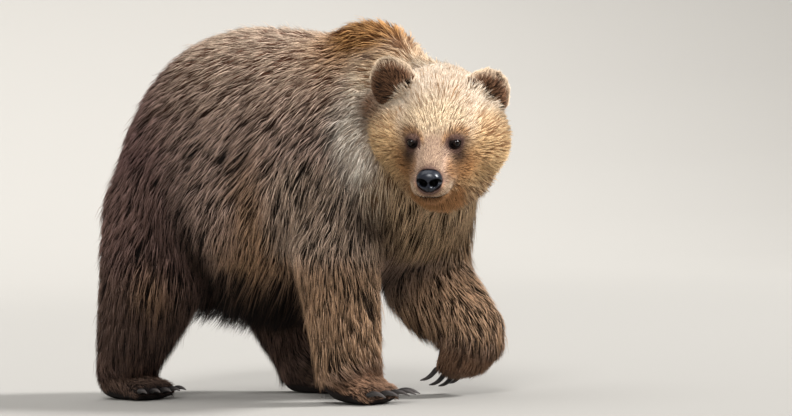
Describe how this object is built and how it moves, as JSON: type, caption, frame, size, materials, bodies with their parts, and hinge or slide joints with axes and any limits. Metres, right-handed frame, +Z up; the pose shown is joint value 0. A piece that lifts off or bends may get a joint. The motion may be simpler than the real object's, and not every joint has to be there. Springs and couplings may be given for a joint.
{
  "type": "brown bear",
  "caption": "Life-size still brown bear in a slow walk, head turned to its right, one forepaw lifted, in a long shaggy coat.",
  "frame": {"origin": "on the floor under the middle of the whole model's bounding box", "axes": "+X is where the bear walks to, +Y is its left side, +Z is up"},
  "size_m": [1.4664, 0.6912, 1.0748],
  "materials": {
    "coat": "long shaggy fur, dark brown roots and pale tan tips",
    "nose": "moist pebbled skin",
    "eye": "wet gloss",
    "claw": "worn horn"
  },
  "bodies": {
    "root": {"trunk": "coat", "neck": "coat", "head": "coat", "jaw": "coat", "tail": "coat", "ear_left": "coat", "ear_right": "coat", "foreleg_left_upper": "coat", "foreleg_left_lower": "coat", "foreleg_left_paw": "coat", "foreleg_right_upper": "coat", "foreleg_right_lower": "coat", "foreleg_right_paw": "coat", "hindleg_left_upper": "coat", "hindleg_left_lower": "coat", "hindleg_left_paw": "coat", "hindleg_right_upper": "coat", "hindleg_right_lower": "coat", "hindleg_right_paw": "coat", "nose": "nose", "eye_left": "eye", "eye_right": "eye", "foreleg_left_claw_1": "claw", "foreleg_left_claw_2": "claw", "foreleg_left_claw_3": "claw", "foreleg_left_claw_4": "claw", "foreleg_left_claw_5": "claw", "foreleg_right_claw_1": "claw", "foreleg_right_claw_2": "claw", "foreleg_right_claw_3": "claw", "foreleg_right_claw_4": "claw", "foreleg_right_claw_5": "claw", "hindleg_left_claw_1": "claw", "hindleg_left_claw_2": "claw", "hindleg_left_claw_3": "claw", "hindleg_left_claw_4": "claw", "hindleg_left_claw_5": "claw", "hindleg_right_claw_1": "claw", "hindleg_right_claw_2": "claw", "hindleg_right_claw_3": "claw", "hindleg_right_claw_4": "claw", "hindleg_right_claw_5": "claw"}
  },
  "joints": []
}
